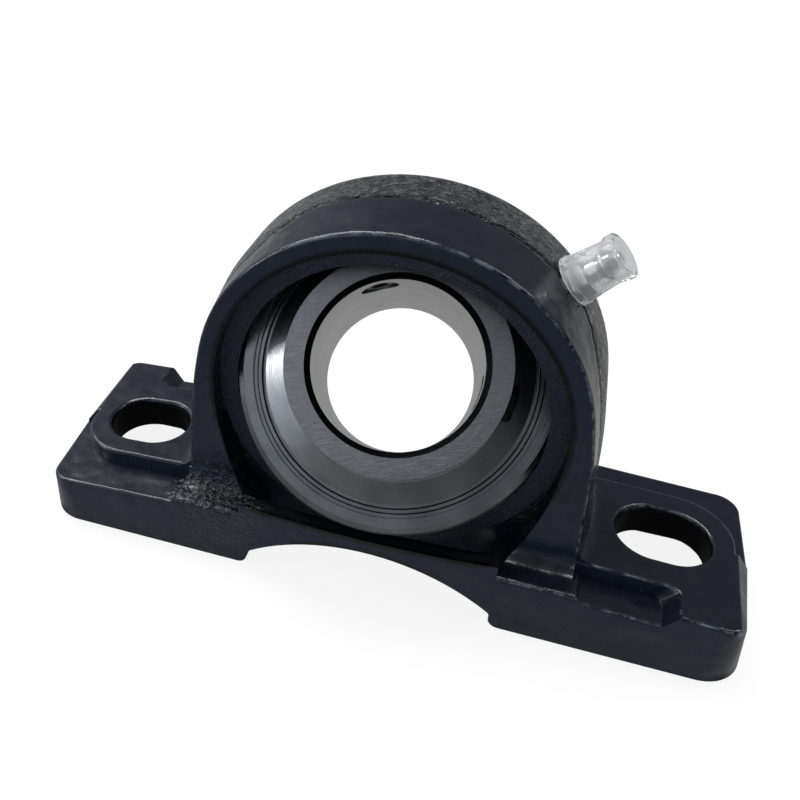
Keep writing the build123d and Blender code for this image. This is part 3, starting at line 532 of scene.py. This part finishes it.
def turned(shader):
    """Noise drawn out round the insert's axis, as turning leaves it, with the radius and height there."""
    x, y, z = shader.split(insert_place(shader))
    radius = shader.length(x, y)
    angle = shader.math("ARCTAN2", y, x)
    lines = shader.join(shader.times(radius, TURN_STREAK), angle, shader.times(z, TURN_STREAK))
    return shader.noise(lines, *TURN_NOISE), radius, z


def turned_steel(name, dark, light, rough):
    shader = Shader(name)
    lines, _, _ = turned(shader)
    cloud = shader.noise(shader.place(), TURN_CLOUD)
    colour = shader.colours(shader.span(cloud, *MIDDLE), dark, light)
    roughness = shader.span(lines, *MIDDLE, rough, rough + ROUGHNESS_SPREAD)
    normal = shader.bump(lines, TURN_HEIGHT)
    return shader.surface(Base_Color=colour, Metallic=1.0, Roughness=roughness, Normal=normal)


def scratches(shader, across, up, degrees):
    """Straight grinding scratches on a flat face, running at this angle."""
    turn = radians(degrees)
    along = shader.math("MULTIPLY_ADD", across, cos(turn), shader.times(up, sin(turn)))
    over = shader.math("MULTIPLY_ADD", across, -sin(turn), shader.times(up, cos(turn)))
    lines = shader.join(shader.times(along, SCRATCH_ALONG), shader.times(over, SCRATCH_ACROSS), degrees)
    return shader.noise(lines, *SCRATCH_NOISE)


def inner_ring_steel():
    """Honed bore, dark finely ground faces and a blackened chamfer between them."""
    shader = Shader("inner_ring_steel")
    lines, radius, height = turned(shader)
    across, up, _ = shader.split(insert_place(shader))
    crossing = shader.times(scratches(shader, across, up, CROSSING_ANGLE), CROSSING_STRENGTH)
    hatch = shader.greatest(scratches(shader, across, up, SCRATCH_ANGLE), crossing)
    cloud = shader.span(shader.noise(shader.place(), RING_CLOUD), *MIDDLE)
    bore = shader.colours(cloud, *BORE_STEEL)
    face = shader.colours(shader.span(hatch, *SCRATCH_RANGE), *FACE_STEEL)
    colour = shader.colours(shader.span(radius, *BORE_EDGE), face, bore)
    chamfer = shader.times(shader.span(radius, *CHAMFER_INSIDE), shader.span(height, *CHAMFER_ABOVE))
    colour = shader.colours(chamfer, colour, CHAMFER_BLACK)

    # The front chamfer of the face is shaded as flat as the face, because its own facets show
    on_face = shader.times(shader.span(radius, *FACE_OUTSIDE), shader.span(height, *FACE_ABOVE))
    to_world = {"vector_type": "NORMAL", "convert_from": "OBJECT", "convert_to": "WORLD"}
    axis = shader.add("VectorTransform", to_world)
    axis.inputs["Vector"].default_value = INSERT_AXIS
    own_normal = shader.add("NewGeometry").outputs["Normal"]
    normal = shader.mix_vectors(on_face, own_normal, axis.outputs["Vector"])
    normal = shader.bump(lines, RING_TURN_HEIGHT, normal)
    normal = shader.bump(hatch, SCRATCH_HEIGHT, normal)
    roughness = shader.span(lines, *MIDDLE, *RING_ROUGHNESS)
    return shader.surface(Base_Color=colour, Metallic=1.0, Roughness=roughness, Normal=normal)


def plain_metal(name, dark, light, rough):
    shader = Shader(name)
    place = shader.place()
    colour = shader.colours(shader.noise(place, METAL_CLOUD), dark, light)
    smear = shader.noise(place, METAL_SMEAR)
    roughness = shader.span(smear, *MIDDLE, rough, rough + ROUGHNESS_SPREAD)
    normal = shader.bump(shader.noise(place, METAL_GRAIN), METAL_HEIGHT)
    return shader.surface(Base_Color=colour, Metallic=1.0, Roughness=roughness, Normal=normal)


def seal_rubber():
    shader = Shader("seal_rubber")
    place = shader.place()
    colour = shader.colours(shader.noise(place, RUBBER_CLOUD), *RUBBER)
    normal = shader.bump(shader.noise(place, RUBBER_GRAIN), RUBBER_HEIGHT)
    return shader.surface(Base_Color=colour, Roughness=RUBBER_ROUGHNESS, Normal=normal)


def clear_cap():
    """Soft translucent plastic, slightly milky."""
    shader = Shader("clear_cap")
    place = shader.place()
    return shader.surface(
        Base_Color=shader.colours(shader.noise(place, CAP_CLOUD), *CAP_PLASTIC),
        Roughness=shader.span(shader.noise(place, CAP_SMEAR), *MIDDLE, *CAP_ROUGHNESS),
        Normal=shader.bump(shader.noise(place, CAP_GRAIN), CAP_HEIGHT),
        IOR=CAP_IOR,
        Transmission_Weight=CAP_CLEARNESS,
    )


def paint_nodes(material, *names):
    for name in names:
        slots = nodes[name].data.materials
        slots.clear()
        slots.append(material)


def dress():
    paint_nodes(CastingPaint().finish(), "housing")
    paint_nodes(inner_ring_steel(), "inner_ring")
    for name, (dark, light, rough, pieces) in TURNED_STEELS.items():
        paint_nodes(turned_steel(name, dark, light, rough), *pieces)
    paint_nodes(seal_rubber(), "seal_lip_front", "seal_lip_rear")
    for name, (dark, light, rough, pieces) in PLAIN_METALS.items():
        paint_nodes(plain_metal(name, dark, light, rough), *pieces)
    paint_nodes(clear_cap(), "nipple_cap")


def background_rays(shader):
    """1 for the rays that show the background: seen directly, in gloss or through the cap."""
    path = shader.add("LightPath").outputs
    return shader.greatest(path["Is Camera Ray"], path["Is Glossy Ray"], path["Is Transmission Ray"])


def add_floor():
    """Pale floor that shows white, with the object's shadow held light on it."""
    bpy.ops.mesh.primitive_plane_add(size=FLOOR_SIZE)
    floor = bpy.context.object
    floor.name = "floor"
    shader = Shader("floor")
    place = shader.place()
    matt = shader.add("BsdfDiffuse", Color=shader.colours(shader.noise(place, FLOOR_CLOUD), *FLOOR_PALE))
    glossy = shader.add("LightPath").outputs["Is Glossy Ray"]
    x, y, _ = shader.split(place)
    # Painted shadow: what gloss sees of the floor is darkened under the object
    shadow_under_object = shader.times(
        shader.span(shader.math("ABSOLUTE", x), *UNDER_X),
        shader.span(shader.math("ABSOLUTE", y), *UNDER_Y, 0.0, UNDER_SHADOW),
    )
    loss = shader.times(shader.greatest(shader.span(y, *FLOOR_LOSS_Y, *FLOOR_LOSS), shadow_under_object), glossy)
    white = shader.add("Emission", Color=(*WHITE, 1.0), Strength=shader.math("SUBTRACT", 1.0, loss))
    share = shader.greatest(shader.times(background_rays(shader), FLOOR_WHITE_SHARE), glossy)
    shader.show_either(share, matt, white)
    floor.data.materials.append(shader.owner)


def add_world():
    """White all round for what shows the background, darker on the camera's side in gloss; soft light."""
    world = bpy.data.worlds.new("studio")
    bpy.context.scene.world = world
    shader = Shader("studio", world)
    soft = shader.add("Background", Color=SOFT_COLOUR, Strength=SOFT_STRENGTH)
    direction = shader.add("TexCoord").outputs["Generated"]
    glossy = shader.add("LightPath").outputs["Is Glossy Ray"]
    dark = shader.times(shader.span(shader.dot(direction, DARK_SIDE), *DARK_SPREAD), glossy)
    dim = shader.times(shader.span(shader.dot(direction, BRIGHT_SIDE), *DIM_SPREAD, 0.0, DIM_LOSS), glossy)
    level = shader.times(shader.span(dark, 0.0, 1.0, 1.0, DARK_LEVEL), shader.math("SUBTRACT", 1.0, dim))
    tint = shader.colours(glossy, WHITE, GLOSS_TINT)
    white = shader.add("Background", Color=tint, Strength=level)
    shader.show_either(background_rays(shader), soft, white)


def add_softbox(name, place, aim, width, height, power):
    """Area lamp; its height runs up from the floor, or along X on one that hangs overhead."""
    data = bpy.data.lights.new(name, "AREA")
    data.shape = "RECTANGLE"
    data.size = width
    data.size_y = height
    data.energy = power
    lamp = bpy.data.objects.new(name, data)
    bpy.context.scene.collection.objects.link(lamp)
    lamp.location = place
    lamp.rotation_euler = (Vector(aim) - Vector(place)).to_track_quat("-Z", "Y").to_euler()


add_camera()
dress()
add_floor()
add_world()
for name, settings in SOFTBOXES.items():
    add_softbox(name, *settings)
bpy.context.scene.view_settings.view_transform = "Standard"
